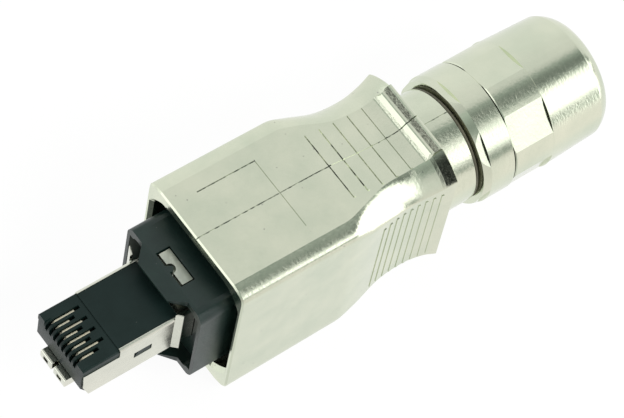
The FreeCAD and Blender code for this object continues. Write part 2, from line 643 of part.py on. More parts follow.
def circuit_board():
    tongue = bar(BOARD_FRONT, SHIELD_REAR + 0.3, PLUG_W / 2 - SHEET - 0.29, BOARD_T / 2)
    main = bar(SHIELD_REAR + 0.15, BOARD_REAR, ledge_inner() + LEDGE_W - 0.45, BOARD_T / 2)
    shape = tongue.fuse(main).removeSplitter()
    for y in row_ys():
        for x in (IDC_X, IDC_X + 4.5):
            shape = shape.cut(Part.makeCylinder(0.35, 3, Vector(x, y, -1.5)))
    return shape


def row_ys():
    """The terminals stand evenly spaced between the ledges."""
    last = ledge_inner() - 0.05 - IDC_W / 2
    return [last * (2 * i / (IDC_COUNT - 1) - 1) for i in range(IDC_COUNT)]


def wire_manager():
    """Upper cap that guides four wires over the forked terminals."""
    _, hh = cover_half()
    z0, z1 = BOARD_T / 2 + TOUCH + LEDGE_H + 0.1, hh - COVER_WALL - TOUCH
    half_w = cover_half()[0] - COVER_WALL - 0.15
    shape = box(MANAGER_X, MANAGER_X + MANAGER_L, -half_w, half_w, z0, z1)
    top_edges = [e for e in shape.Edges if abs(e.CenterOfMass.z - z1) < 1e-6]
    shape = shape.makeChamfer(0.5, top_edges)
    cuts = []
    for y in row_ys():
        cuts.append(cyl_x(WIRE_R, MANAGER_X - 1, MANAGER_X + MANAGER_L + 1, y, WIRE_Z))
        cuts.append(bar(IDC_X - IDC_T / 2 - 0.05, IDC_X + IDC_T / 2 + 0.05, IDC_W / 2 + 0.05,
                        5.6).translate(Vector(0, y, 0)))
        cuts.append(box(MANAGER_X + MANAGER_L - 1.6, MANAGER_X + MANAGER_L + 1, y - WIRE_R,
                        y + WIRE_R, WIRE_Z, z1 + 1))
    return shape.cut(Part.makeCompound(cuts))


def idc_terminal(y):
    """Forked blade that cuts into a wire's jacket, standing on the board."""
    z0 = BOARD_T / 2 + TOUCH
    x0 = IDC_X - IDC_T / 2
    fork = box(x0, x0 + IDC_T, y - IDC_W / 2, y + IDC_W / 2, z0, 5.5)
    slot = box(x0 - 1, x0 + 2, y - 0.16, y + 0.16, 2.6, 6)
    vee = Part.Face(Part.makePolygon([Vector(x0 - 1, y + a, b) for a, b in
                                      ((-0.6, 5.6), (0.6, 5.6), (0, 4.7), (-0.6, 5.6))]))
    return fork.cut(slot).cut(vee.extrude(Vector(3, 0, 0)))


def shield_clamp():
    """Stamped strap over the cable's shield, screwed to the lower cover."""
    t = CLAMP_T
    x0, x1 = CLAMP_X - CLAMP_L / 2, CLAMP_X + CLAMP_L / 2
    foot = SCREW_Y + SCREW_HEAD_R - 0.1
    arch = cyl_x(CABLE_R + t, x0, x1).cut(cyl_x(CABLE_R, x0 - 1, x1 + 1))
    arch = arch.common(box(x0, x1, -foot, foot, -SHEET + TOUCH, foot))
    feet = box(x0, x1, -foot, foot, -SHEET + TOUCH, -SHEET + TOUCH + t)
    feet = feet.cut(cyl_x(CABLE_R + t / 2, x0 - 1, x1 + 1))
    shape = arch.fuse(feet)
    for s in (-1, 1):
        shape = shape.cut(Part.makeCylinder(SCREW_R + 0.1, 3, Vector(CLAMP_X, s * SCREW_Y, -1)))
    return shape


def clamp_screw(side):
    z = -SHEET + TOUCH + CLAMP_T + TOUCH
    shank = Part.makeCylinder(SCREW_R, 4.6, Vector(0, 0, z - 4.5))
    head = Part.makeCylinder(SCREW_HEAD_R, 1.0, Vector(0, 0, z))
    head = head.makeFillet(0.3, [e for e in head.Edges if abs(e.CenterOfMass.z - z - 1) < 1e-6])
    shape = shank.fuse(head)
    for a in (0, 90):
        slot = Part.makeBox(1.5, 0.32, 0.7, Vector(-0.75, -0.16, z + 0.5))
        slot.rotate(Vector(0, 0, 0), Vector(0, 0, 1), a)
        shape = shape.cut(slot)
    shape.translate(Vector(CLAMP_X, side * SCREW_Y, 0))
    return shape


def return_spring(side):
    """Compression spring from the frame's pocket to the casting's seat."""
    x0 = FLANGE_END - POCKET_DEPTH + TOUCH + SPRING_WIRE
    x1 = CAVITY_STEP_X - TOUCH - SPRING_WIRE
    pitch = (x1 - x0) / SPRING_TURNS
    helix = Part.makeHelix(pitch, x1 - x0, SPRING_R)
    start = Vector(SPRING_R, 0, 0)
    ring = Part.Wire([Part.makeCircle(SPRING_WIRE, start, Vector(0, 1, 0))])
    coil = Part.Wire(helix.Edges).makePipeShell([ring], True, True)
    coil.rotate(Vector(0, 0, 0), Vector(0, 1, 0), 90)
    coil.translate(Vector(x0, 0, side * SPRING_Z))
    return coil


def flats_prism(round_r, x0, x1):
    """Regular prism along X whose flats each take FLAT_SPREAD of a round of radius round_r."""
    step = 2 * math.pi / FLAT_COUNT
    r = round_r * math.cos(math.radians(FLAT_SPREAD / 2)) / math.cos(step / 2)
    turn = math.radians(FLAT_TURN)
    pts = [Vector(x0, r * math.cos(step * k + turn), r * math.sin(step * k + turn))
           for k in range(FLAT_COUNT)]
    return Part.Face(Part.makePolygon(pts + pts[:1])).extrude(Vector(x1 - x0, 0, 0))


def neck_seal():
    return turned([(NECK_END + TOUCH, SPIGOT_R + TOUCH), (NECK_END + TOUCH, NECK_R - 0.35),
                   (NECK_END + SEAL_L - TOUCH, NECK_R - 0.35),
                   (NECK_END + SEAL_L - TOUCH, SPIGOT_R + TOUCH)])


def gland_body():
    """Turned gland: spigot in the neck, flanged ring, and the thread that takes the nut."""
    front = RING_X
    shape = turned([(SPIGOT_X, GLAND_BORE), (SPIGOT_X, SPIGOT_R - 0.4), (SPIGOT_X + 0.4, SPIGOT_R),
                    (front, SPIGOT_R), (front, RING_R - RING_BEVEL),
                    (front + RING_FLAT_L, RING_R),
                    (RING_END - 0.15, RING_R), (RING_END, RING_R - 0.15),
                    (RING_END, GLAND_THREAD_R), (GLAND_END - 0.5, GLAND_THREAD_R),
                    (GLAND_END, GLAND_THREAD_R - 0.5), (GLAND_END, GLAND_SEAT_R),
                    (GLAND_SEAT_X, GLAND_SEAT_R), (GLAND_SEAT_X, GLAND_BORE)])
    rim = cyl_x(RING_R + 1, front - 0.1, front + RING_FLAT_L)
    rim = rim.cut(flats_prism(RING_R, front - 1, front + RING_FLAT_L + 1))
    return shape.cut(rim)


def cage_outer_r():
    return GLAND_SEAT_R - RUN


def clamping_cage():
    """Slotted plastic cage that the nut squeezes onto the grommet."""
    r = cage_outer_r()
    x0, x1 = GLAND_SEAT_X + TOUCH, CAGE_END
    shape = turned([(x0, CAGE_BORE), (x0, r), (GLAND_END, r), (x1 - 1.8, r), (x1, r - 0.9),
                    (x1, CAGE_BORE - 0.4), (x1 - 1.2, CAGE_BORE)])
    slots = []
    for k in range(6):
        slot = box(x0 + 3.5, x1 + 1, -0.35, 0.35, 3, r + 1)
        slot.rotate(Vector(0, 0, 0), Vector(1, 0, 0), 60 * k)
        slots.append(slot)
    return shape.cut(Part.makeCompound(slots))


def sealing_grommet():
    r = CAGE_BORE - TOUCH
    x0, x1 = GLAND_SEAT_X + TOUCH, GROMMET_END
    shape = turned([(x0, GROMMET_BORE), (x0, r), (x1 - 0.6, r), (x1, r - 0.6), (x1, GROMMET_BORE)])
    return shape


def thrust_ring():
    x1 = NUT_END - NUT_END_WALL - RUN
    outer = GLAND_SEAT_R + 0.1
    return turned([(x1 - 1.2, CABLE_HOLE_R + 0.5), (x1 - 1.2, outer), (x1, outer),
                   (x1, CABLE_HOLE_R + 0.5)])


def clamping_nut():
    """Cap nut with wrench flats at its front and a rounded bevel at its end."""
    x0 = NUT_X
    wall_x = NUT_END - NUT_END_WALL
    pocket_r = GLAND_SEAT_R + 0.15
    thread_r = GLAND_THREAD_R + RUN
    outline = [(wall_x, CABLE_HOLE_R), (wall_x, pocket_r), (GLAND_END + 1, pocket_r + 0.25),
               (GLAND_END + 1, thread_r),
               (x0, thread_r), (x0, NUT_R - 0.15), (x0 + 0.15, NUT_R), (NUT_FLAT_END, NUT_R),
               (NUT_FLAT_END + 0.1, NUT_R - NUT_STEP), (NUT_ROUND_X, NUT_REAR_R)]
    rear = [(NUT_END, NUT_FACE_R), (NUT_END, CABLE_HOLE_R + 0.6), (NUT_END - 0.6, CABLE_HOLE_R),
            (wall_x, CABLE_HOLE_R)]
    edges = []
    for line in (outline, rear):
        for a, b in zip(line, line[1:]):
            edges.append(Part.makeLine(Vector(a[0], 0, a[1]), Vector(b[0], 0, b[1])))
    bevel = Part.BezierCurve()
    dx, dr = NUT_END - NUT_ROUND_X, NUT_REAR_R - NUT_FACE_R
    bevel.setPoles([Vector(NUT_ROUND_X, 0, NUT_REAR_R),
                    Vector(NUT_ROUND_X + 0.35 * dx, 0, NUT_REAR_R - 0.17 * dr),
                    Vector(NUT_ROUND_X + 0.85 * dx, 0, NUT_FACE_R + 0.42 * dr),
                    Vector(NUT_END, 0, NUT_FACE_R)])
    edges.insert(len(outline) - 1, bevel.toShape())
    shape = Part.Face(Part.Wire(Part.sortEdges(edges)[0]))
    shape = shape.revolve(Vector(0, 0, 0), Vector(1, 0, 0), 360)
    flats = cyl_x(NUT_R + 1, x0 - 1, NUT_FLAT_END)
    return shape.cut(flats.cut(flats_prism(NUT_R, x0 - 2, NUT_FLAT_END + 1)))


def pieces():
    parts = {
        "hood": hood(),
        "latch_frame": latch_frame(),
        "face_seal": face_seal(),
        "plug_body": plug_body(),
        "plug_shield": plug_shield(),
        "plug_latch": plug_latch(),
        "inner_cover_upper": inner_cover(True),
        "inner_cover_lower": inner_cover(False),
        "circuit_board": circuit_board(),
        "wire_manager_upper": wire_manager(),
        "wire_manager_lower": mirror_z(wire_manager()),
        "shield_clamp": shield_clamp(),
        "clamp_screw_left": clamp_screw(1),
        "clamp_screw_right": clamp_screw(-1),
        "return_spring_upper": return_spring(1),
        "return_spring_lower": return_spring(-1),
        "neck_seal": neck_seal(),
        "gland_body": gland_body(),
        "clamping_cage": clamping_cage(),
        "sealing_grommet": sealing_grommet(),
        "thrust_ring": thrust_ring(),
        "clamping_nut": clamping_nut(),
    }
    for i in range(CONTACT_COUNT):
        parts["contact_%d" % (i + 1)] = contact(i)
    for i, y in enumerate(row_ys()):
        parts["idc_terminal_upper_%d" % (i + 1)] = idc_terminal(y)
        parts["idc_terminal_lower_%d" % (i + 1)] = mirror_z(idc_terminal(y))
    return parts


os.makedirs("parts", exist_ok=True)
for name, shape in pieces().items():
    shape.exportStep("parts/%s.step" % name)
    print(name, "solids", len(shape.Solids), "volume %.1f" % shape.Volume, "valid", shape.isValid())
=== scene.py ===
# %% [markdown]
# A field termination ethernet plug: a plated metal hood, a cable gland behind it and a
# black frame with a shielded modular plug in its mouth. The construction comes packed
# from the CAD step, so this lesson gives the parts their finishes, adds the details that
# a mesh does best, and lights and frames the plug as in the photograph.
#
# The frame is loaded first.

# %% Load the frame
import math
import bpy
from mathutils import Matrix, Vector


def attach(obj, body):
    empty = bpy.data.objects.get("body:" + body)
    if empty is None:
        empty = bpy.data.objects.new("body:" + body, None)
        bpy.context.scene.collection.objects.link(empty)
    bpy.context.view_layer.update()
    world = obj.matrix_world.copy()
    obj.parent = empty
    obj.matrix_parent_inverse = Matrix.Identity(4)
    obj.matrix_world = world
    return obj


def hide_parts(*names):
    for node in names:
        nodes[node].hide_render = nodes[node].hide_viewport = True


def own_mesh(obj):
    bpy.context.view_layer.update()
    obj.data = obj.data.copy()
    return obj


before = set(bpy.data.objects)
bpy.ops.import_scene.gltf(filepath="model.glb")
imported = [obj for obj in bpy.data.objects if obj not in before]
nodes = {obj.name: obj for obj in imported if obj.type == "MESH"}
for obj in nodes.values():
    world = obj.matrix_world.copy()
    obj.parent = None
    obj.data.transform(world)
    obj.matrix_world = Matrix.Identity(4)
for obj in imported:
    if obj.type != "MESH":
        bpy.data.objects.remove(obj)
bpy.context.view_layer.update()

MM = 0.001

# %% [markdown]
# The camera stands where the photographer's lens stood: above the plug, to the nose's
# right, with a long lens that flattens perspective. Its place and turn were fitted to
# the outlines in the photograph, and the lens is given as a focal length on a 36 mm
# sensor. A small roll is part of the turn, since the picture was rotated when laid out.

# %% Camera
CAMERA_AT = Vector((-149.8, -177.9, 431.8)) * MM
CAMERA_TURN = [math.radians(a) for a in (30.873, -7.036, -36.053)]
CAMERA_LENS = 195.2
SENSOR_WIDTH = 36

bpy.ops.object.select_all(action="DESELECT")
bpy.ops.object.camera_add(location=CAMERA_AT, rotation=CAMERA_TURN)
camera = bpy.context.object
camera.name = "camera"
camera.data.lens = CAMERA_LENS
camera.data.sensor_width = SENSOR_WIDTH
camera.data.clip_start = 0.01
bpy.context.scene.camera = camera
bpy.context.scene.view_settings.view_transform = "Standard"
print("camera", [round(v, 3) for v in camera.location], "lens", camera.data.lens)

# %% [markdown]
# A node tree is easier to read when each node is one short call. These helpers add a
# node, join sockets and start a material with its Principled shader. A number that is
# the same all over a surface is set on the shader's own socket.

# %% Helpers for node trees
def add_node(tree, kind, **values):
    """Add a node; values name its properties, or its inputs with their spaces as underscores."""
    node = tree.nodes.new(kind)
    for key, value in values.items():
        if hasattr(node, key):
            setattr(node, key, value)
        else:
            node.inputs[key.replace("_", " ")].default_value = value
    return node


def join(tree, out, into):
    tree.links.new(out, into)
    return into


def start_material(name, colour, metallic, roughness, **sockets):
    """A material with one Principled shader, and its constants set on the shader."""
    material = bpy.data.materials.new(name)
    material.use_nodes = True
    tree = material.node_tree
    shader = tree.nodes["Principled BSDF"]
    shader.inputs["Base Color"].default_value = (*colour, 1)
    shader.inputs["Metallic"].default_value = metallic
    shader.inputs["Roughness"].default_value = roughness
    for key, value in sockets.items():
        shader.inputs[key.replace("_", " ")].default_value = value
    return material, tree, shader


def math_node(tree, operation, a, b=None):
    """One sum; a and b are sockets or numbers."""
    node = tree.nodes.new("ShaderNodeMath")
    node.operation = operation
    for socket, value in zip(node.inputs, (a, b)):
        if value is None:
            continue
        if isinstance(value, (int, float)):
            socket.default_value = value
        else:
            tree.links.new(value, socket)
    return node.outputs[0]


def mix_colours(tree, factor, low, high):
    """Low where the factor is 0 and high where it is 1; high is a socket or a colour."""
    node = add_node(tree, "ShaderNodeMix", data_type="RGBA")
    join(tree, factor, node.inputs["Factor"])
    join(tree, low, node.inputs[6])
    if isinstance(high, tuple):
        node.inputs[7].default_value = (*high, 1)
    else:
        join(tree, high, node.inputs[7])
    return node.outputs[2]


print("node helpers are ready")

# %% [markdown]
# Three effects are used by more than one finish, so each is a node group made once:
# a cloudy tone that varies slowly over a part, a fine grain that roughens its gloss and
# lifts its surface, and small specks, as dust and pits leave. Each takes its sizes as
# inputs and gives out masks, values or a normal.

# %% Shared groups of nodes
SPECK_RARITY = 0.86


def start_group(name, inputs, outputs):
    """An empty group with its sockets, and its input and output nodes."""
    group = bpy.data.node_groups.new(name, "ShaderNodeTree")
    for label, kind, value in inputs:
        socket = group.interface.new_socket(label, in_out="INPUT", socket_type=kind)
        if value is not None:
            socket.default_value = value
    for label, kind in outputs:
        group.interface.new_socket(label, in_out="OUTPUT", socket_type=kind)
    return group, group.nodes.new("NodeGroupInput"), group.nodes.new("NodeGroupOutput")


def make_cloud_group():
    """Slow variation between two colours."""
    group, given, result = start_group(
        "cloudy_tone",
        [("Color A", "NodeSocketColor", (1, 1, 1, 1)), ("Color B", "NodeSocketColor", (1, 1, 1, 1)),
         ("Size", "NodeSocketFloat", 120.0)],
        [("Color", "NodeSocketColor"), ("Mask", "NodeSocketFloat")])
    place = add_node(group, "ShaderNodeTexCoord")
    noise = add_node(group, "ShaderNodeTexNoise", Detail=4.0, Roughness=0.55)
    ramp = add_node(group, "ShaderNodeMapRange", From_Min=0.3, From_Max=0.7)
    join(group, place.outputs["Object"], noise.inputs["Vector"])
    join(group, given.outputs["Size"], noise.inputs["Scale"])
    join(group, noise.outputs["Fac"], ramp.inputs["Value"])
    mask = ramp.outputs["Result"]
    tone = mix_colours(group, mask, given.outputs["Color A"], given.outputs["Color B"])
    join(group, tone, result.inputs["Color"])
    join(group, mask, result.inputs["Mask"])
    return group


def make_grain_group():
    """Fine grain: a roughness that varies and a normal. Stretch squeezes it along X."""
    group, given, result = start_group(
        "fine_grain",
        [("Size", "NodeSocketFloat", 3000.0), ("Stretch", "NodeSocketVector", (1, 1, 1)),
         ("Roughness Low", "NodeSocketFloat", 0.2), ("Roughness High", "NodeSocketFloat", 0.3),
         ("Height", "NodeSocketFloat", 0.1), ("Depth", "NodeSocketFloat", 0.00002)],
        [("Roughness", "NodeSocketFloat"), ("Normal", "NodeSocketVector"),
         ("Mask", "NodeSocketFloat")])
    place = add_node(group, "ShaderNodeTexCoord")
    scale = add_node(group, "ShaderNodeVectorMath", operation="MULTIPLY")
    noise = add_node(group, "ShaderNodeTexNoise", Detail=3.0, Roughness=0.6)
    ramp = add_node(group, "ShaderNodeMapRange", From_Min=0.25, From_Max=0.75)
    bump = add_node(group, "ShaderNodeBump")
    join(group, place.outputs["Object"], scale.inputs[0])
    join(group, given.outputs["Stretch"], scale.inputs[1])
    join(group, scale.outputs[0], noise.inputs["Vector"])
    join(group, given.outputs["Size"], noise.inputs["Scale"])
    join(group, noise.outputs["Fac"], ramp.inputs["Value"])
    join(group, given.outputs["Roughness Low"], ramp.inputs["To Min"])
    join(group, given.outputs["Roughness High"], ramp.inputs["To Max"])
    join(group, noise.outputs["Fac"], bump.inputs["Height"])
    join(group, given.outputs["Height"], bump.inputs["Strength"])
    join(group, given.outputs["Depth"], bump.inputs["Distance"])
    join(group, ramp.outputs["Result"], result.inputs["Roughness"])
    join(group, bump.outputs["Normal"], result.inputs["Normal"])
    join(group, noise.outputs["Fac"], result.inputs["Mask"])
    return group


def make_speck_group():
    """Sparse small spots as a mask: 1 on a speck and 0 elsewhere."""
    group, given, result = start_group(
        "specks",
        [("Size", "NodeSocketFloat", 500.0), ("Spread", "NodeSocketFloat", 0.1)],
        [("Mask", "NodeSocketFloat")])
    place = add_node(group, "ShaderNodeTexCoord")
    cells = add_node(group, "ShaderNodeTexVoronoi", feature="F1")
    pick = add_node(group, "ShaderNodeSeparateColor")
    join(group, place.outputs["Object"], cells.inputs["Vector"])
    join(group, given.outputs["Size"], cells.inputs["Scale"])
    join(group, cells.outputs["Color"], pick.inputs["Color"])
    near = math_node(group, "LESS_THAN", cells.outputs["Distance"], given.outputs["Spread"])
    rare = math_node(group, "GREATER_THAN", pick.outputs["Red"], SPECK_RARITY)
    join(group, math_node(group, "MULTIPLY", near, rare), result.inputs["Mask"])
    return group


cloud_group = make_cloud_group()
grain_group = make_grain_group()
speck_group = make_speck_group()
print("groups", [g.name for g in bpy.data.node_groups])

# %% [markdown]
# A material uses a group by placing one node of it and setting its own values. These
# short helpers place a group and join it to the shader: the cloudy tone feeds the base
# colour, the grain feeds the roughness and the normal, and a mask mixes a colour in.

# %% Helpers that place a group in a material
def use_group(tree, group, **values):
    """A node of the group, with its inputs set."""
    node = tree.nodes.new("ShaderNodeGroup")
    node.node_tree = group
    for key, value in values.items():
        node.inputs[key.replace("_", " ")].default_value = value
    return node


def cloud(tree, shader, colour_a, colour_b, size):
    """Give the base colour a slow variation, and return its colour socket."""
    node = use_group(tree, cloud_group, Color_A=(*colour_a, 1), Color_B=(*colour_b, 1), Size=size)
    join(tree, node.outputs["Color"], shader.inputs["Base Color"])
    return node.outputs["Color"]


def grain(tree, shader, size, low, high, height, depth=0.00002, stretch=(1, 1, 1)):
    """Give the roughness and the normal a fine grain."""
    node = use_group(tree, grain_group, Size=size, Stretch=stretch, Roughness_Low=low,
                     Roughness_High=high, Height=height, Depth=depth)
    join(tree, node.outputs["Roughness"], shader.inputs["Roughness"])
    join(tree, node.outputs["Normal"], shader.inputs["Normal"])


def darken_where(tree, shader, base, mask, colour):
    """Mix a colour in where the mask is 1, in front of what feeds the base colour."""
    tone = mix_colours(tree, mask, base, colour)
    join(tree, tone, shader.inputs["Base Color"])
    return tone


print("group helpers are ready")

# %% [markdown]
# The hood, the gland and the nut are nickel plated. The plate is bright but not a
# mirror: its reflections have soft, slightly grainy borders, the tone drifts a little
# between warm and greenish, and the hood's flat sides carry a few specks. The turned
# parts are a little smoother than the casting. The casting's pressed lines get painted
# shade: their colour is darkened, and noise breaks it up.

# %% Nickel plate
NICKEL_WARM = (0.70, 0.735, 0.585)
NICKEL_COOL = (0.61, 0.665, 0.525)
# Painted shade: the dark colour laid into the hood's pressed lines
GROOVE_SHADE = (0.13, 0.15, 0.12)
SPECK = (0.40, 0.41, 0.36)

# The hood's pressed lines in millimetres, each number pair a middle and half a length
PARTING_LINE_Y = (0.0, 0.095)
PARTING_GAP_X = (51.6, 4.4)
LABEL_SIDE_Y = (6.4, 0.10)
LABEL_SIDE_X = (32.6, 5.2)
FIRST_RIB_X = 46.68
RIB_PITCH = 2.67
RIB_FOOT_HALF = 0.055
RIB_SPAN_Y = (0.0, 5.2)


def near_line(tree, value, middle, half):
    """1 where a coordinate is within half of the middle, both in millimetres."""
    off = math_node(tree, "ABSOLUTE", math_node(tree, "SUBTRACT", value, middle * MM))
    return math_node(tree, "LESS_THAN", off, half * MM)


def painted_groove_shade(tree):
    """Painted shade in the parting line, in the label's long side and at the feet of two ribs."""
    place = add_node(tree, "ShaderNodeTexCoord")
    split = add_node(tree, "ShaderNodeSeparateXYZ")
    join(tree, place.outputs["Object"], split.inputs[0])
    x, y = split.outputs["X"], split.outputs["Y"]
    # The stretch of the parting line that gets no painted shade
    unshaded_gap = near_line(tree, x, *PARTING_GAP_X)
    parting = math_node(tree, "MULTIPLY", near_line(tree, y, *PARTING_LINE_Y),
                        math_node(tree, "SUBTRACT", 1.0, unshaded_gap))
    label = math_node(tree, "MULTIPLY", near_line(tree, y, *LABEL_SIDE_Y),
                      near_line(tree, x, *LABEL_SIDE_X))
    ribs = math_node(tree, "MAXIMUM", near_line(tree, x, FIRST_RIB_X, RIB_FOOT_HALF),
                     near_line(tree, x, FIRST_RIB_X + RIB_PITCH, RIB_FOOT_HALF))
    ribs = math_node(tree, "MULTIPLY", ribs, near_line(tree, y, *RIB_SPAN_Y))
    lines = math_node(tree, "MAXIMUM", math_node(tree, "MAXIMUM", parting, label), ribs)
    breaks = add_node(tree, "ShaderNodeTexNoise", Scale=800.0, Detail=4.0)
    join(tree, place.outputs["Object"], breaks.inputs["Vector"])
    ramp = add_node(tree, "ShaderNodeMapRange", From_Min=0.40, From_Max=0.58)
    join(tree, breaks.outputs["Fac"], ramp.inputs["Value"])
    return math_node(tree, "MULTIPLY", lines, ramp.outputs["Result"])


def make_cast_nickel():
    material, tree, shader = start_material("cast_nickel_plate", NICKEL_WARM, 1.0, 0.2)
    tone = cloud(tree, shader, NICKEL_WARM, NICKEL_COOL, 170)
    grain(tree, shader, 1700, 0.11, 0.22, 0.55, 0.00004)
    spots = use_group(tree, speck_group, Size=900, Spread=0.10)
    tone = darken_where(tree, shader, tone, spots.outputs["Mask"], SPECK)
    # Painted shade darkens the pressed lines, broken by noise
    darken_where(tree, shader, tone, painted_groove_shade(tree), GROOVE_SHADE)
    return material


def make_turned_nickel():
    material, tree, shader = start_material("turned_nickel_plate", NICKEL_WARM, 1.0, 0.2)
    cloud(tree, shader, NICKEL_WARM, NICKEL_COOL, 130)
    grain(tree, shader, 1500, 0.10, 0.19, 0.55, 0.00003, stretch=(1.7, 1, 1))
    return material


cast_nickel = make_cast_nickel()
turned_nickel = make_turned_nickel()
print("nickel", cast_nickel.name, turned_nickel.name)

# %% [markdown]
# The shield and the latch are folded from thin plated sheet, a little warmer and
# duller than the casting, with the faint lines of rolling along the plug. The inner
# covers are bare die castings with a cloudy passivated skin.

# %% Sheet and bare castings
def make_sheet():
    material, tree, shader = start_material("plated_sheet", (0.78, 0.77, 0.69), 1.0, 0.22)
    cloud(tree, shader, (0.75, 0.765, 0.66), (0.66, 0.68, 0.59), 260)
    grain(tree, shader, 2500, 0.16, 0.30, 0.10, 0.00003, stretch=(0.15, 1, 1))
    return material


def make_bare_casting():
    material, tree, shader = start_material("passivated_casting", (0.60, 0.63, 0.55), 1.0, 0.4)
    cloud(tree, shader, (0.62, 0.65, 0.56), (0.50, 0.54, 0.47), 420)
    grain(tree, shader, 2200, 0.34, 0.50, 0.22, 0.00006)
    return material


plated_sheet = make_sheet()
bare_casting = make_bare_casting()
print("sheet", plated_sheet.name, bare_casting.name)

# %% [markdown]
# The frame and the plug's body are moulded in black, glass filled plastic that looks
# slightly blue green under white light. The mould's spark-eroded texture breaks up the
# gloss, and handling has left a little dust.

# %% Moulded plastics and rubber
def make_plastic(name, colour_a, colour_b, low, high, height, size=5200, gloss=0.5):
    material, tree, shader = start_material(name, colour_a, 0.0, low, Specular_IOR_Level=gloss)
    tone = cloud(tree, shader, colour_a, colour_b, 300)
    grain(tree, shader, size, low, high, height, 0.00003)
    return material, tree, shader, tone


frame_black, tree, shader, tone = make_plastic(
    "frame_plastic", (0.007, 0.020, 0.017), (0.011, 0.028, 0.023), 0.28, 0.44, 0.25)
dust = use_group(tree, speck_group, Size=900, Spread=0.07)
darken_where(tree, shader, tone, dust.outputs["Mask"], (0.07, 0.08, 0.075))
plug_black, tree, shader, tone = make_plastic(
    "plug_plastic", (0.006, 0.016, 0.014), (0.009, 0.021, 0.019), 0.32, 0.46, 0.2, gloss=0.2)
dust = use_group(tree, speck_group, Size=900, Spread=0.06)
darken_where(tree, shader, tone, dust.outputs["Mask"], (0.06, 0.07, 0.065))
cap_grey = make_plastic("cap_plastic", (0.52, 0.53, 0.51), (0.58, 0.58, 0.56), 0.4, 0.55, 0.2)[0]
cage_grey = make_plastic("cage_plastic", (0.16, 0.17, 0.175), (0.20, 0.21, 0.21), 0.42, 0.6, 0.2)[0]
rubber = make_plastic("seal_rubber", (0.012, 0.013, 0.013), (0.02, 0.021, 0.021), 0.6, 0.8, 0.35,
                      4200)[0]
print("plastics", frame_black.name, plug_black.name, cap_grey.name, cage_grey.name, rubber.name)

# %% [markdown]
# The contact blades are gold flashed and dull from wear, the wire terminals are tinned,
# and the board is green laminate. The springs and the clamp's screws are drawn steel.

# %% Small metal and the board
def make_small_metal(name, colour_a, colour_b, low, high):
    material, tree, shader = start_material(name, colour_a, 1.0, low)
    cloud(tree, shader, colour_a, colour_b, 900)
    grain(tree, shader, 5000, low, high, 0.15, 0.00002)
    return material


contact_gold = make_small_metal("worn_gold_flash", (0.82, 0.76, 0.56), (0.68, 0.66, 0.52),
                                0.26, 0.42)
tinned = make_small_metal("tinned_bronze", (0.66, 0.65, 0.60), (0.56, 0.55, 0.50), 0.3, 0.46)
steel = make_small_metal("drawn_steel", (0.60, 0.60, 0.59), (0.50, 0.50, 0.49), 0.24, 0.38)
board_green = make_plastic("board_laminate", (0.02, 0.13, 0.05), (0.03, 0.16, 0.06), 0.28, 0.4,
                           0.25, 1800)[0]
print("small metal", contact_gold.name, tinned.name, steel.name, board_green.name)

# %% [markdown]
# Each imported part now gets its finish. The parts keep their own meshes, and only their
# material slots change.

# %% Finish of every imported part
FINISH = {
    "hood": cast_nickel, "gland_body": turned_nickel, "clamping_nut": turned_nickel,
    "plug_shield": plated_sheet, "plug_latch": plated_sheet, "shield_clamp": plated_sheet,
    "inner_cover_upper": bare_casting, "inner_cover_lower": bare_casting,
    "latch_frame": frame_black, "plug_body": plug_black, "face_seal": rubber,
    "neck_seal": rubber, "sealing_grommet": rubber, "clamping_cage": cage_grey,
    "thrust_ring": cage_grey, "wire_manager_upper": cap_grey, "wire_manager_lower": cap_grey,
    "circuit_board": board_green, "clamp_screw_left": steel, "clamp_screw_right": steel,
    "return_spring_upper": steel, "return_spring_lower": steel,
}
for name, part in nodes.items():
    finish = FINISH.get(name)
    if name.startswith("contact_"):
        finish = contact_gold
    elif name.startswith("idc_terminal"):
        finish = tinned
    part.data.materials.clear()
    part.data.materials.append(finish)
print("finished", len(nodes), "parts")

# %% [markdown]
# The next cells add what a mesh does better than a solid, with five short helpers. An
# operator acts on all that is selected, so one clears the selection and one takes a single
# piece. One merges loose corners and turns the faces outwards, one puts a modifier on a
# piece and applies it, and one finishes a piece, with its smooth edges, its finish and the
# body it rides on.

# %% Helpers for modelling
def select_none():
    if bpy.context.mode != "OBJECT":
        bpy.ops.object.mode_set(mode="OBJECT")
    bpy.ops.object.select_all(action="DESELECT")


def take(piece):
    """Make the piece the only selected and active object."""
    select_none()
    bpy.context.view_layer.objects.active = piece
    piece.select_set(True)


def outward(piece):
    """Merge doubles and turn every face outwards."""
    take(piece)
    bpy.ops.object.mode_set(mode="EDIT")
    bpy.ops.mesh.select_all(action="SELECT")
    bpy.ops.mesh.remove_doubles(threshold=1e-6)
    bpy.ops.mesh.normals_make_consistent(inside=False)
    bpy.ops.object.mode_set(mode="OBJECT")


def apply_modifier(piece, kind, **values):
    """Put one modifier on the piece and apply it at once."""
    take(piece)
    modifier = piece.modifiers.new(kind.lower(), kind)
    for key, value in values.items():
        setattr(modifier, key, value)
    bpy.ops.object.modifier_apply(modifier=modifier.name)


def finish_piece(piece, name, body, material, angle=35):
    """Rest the piece at the origin, shade it, and give it its finish and its body."""
    take(piece)
    bpy.ops.object.transform_apply(location=True, rotation=True, scale=True)
    bpy.ops.object.shade_smooth_by_angle(angle=math.radians(angle))
    piece.name = name
    piece.data.materials.clear()
    piece.data.materials.append(material)
    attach(piece, body)
    print(name, "faces", len(piece.data.polygons), "on", body)


print("modelling helpers are ready")

# %% [markdown]
# A soft seal fills the slot between the hood's neck and the gland's ring. Tightened, it
# swells a little towards the rim and shows as a brown olive line with a dark edge on
# each side. Its section is a small ring of points, spun round the plug's axis. Spinning
# is the natural way to make any round part whose section is known.

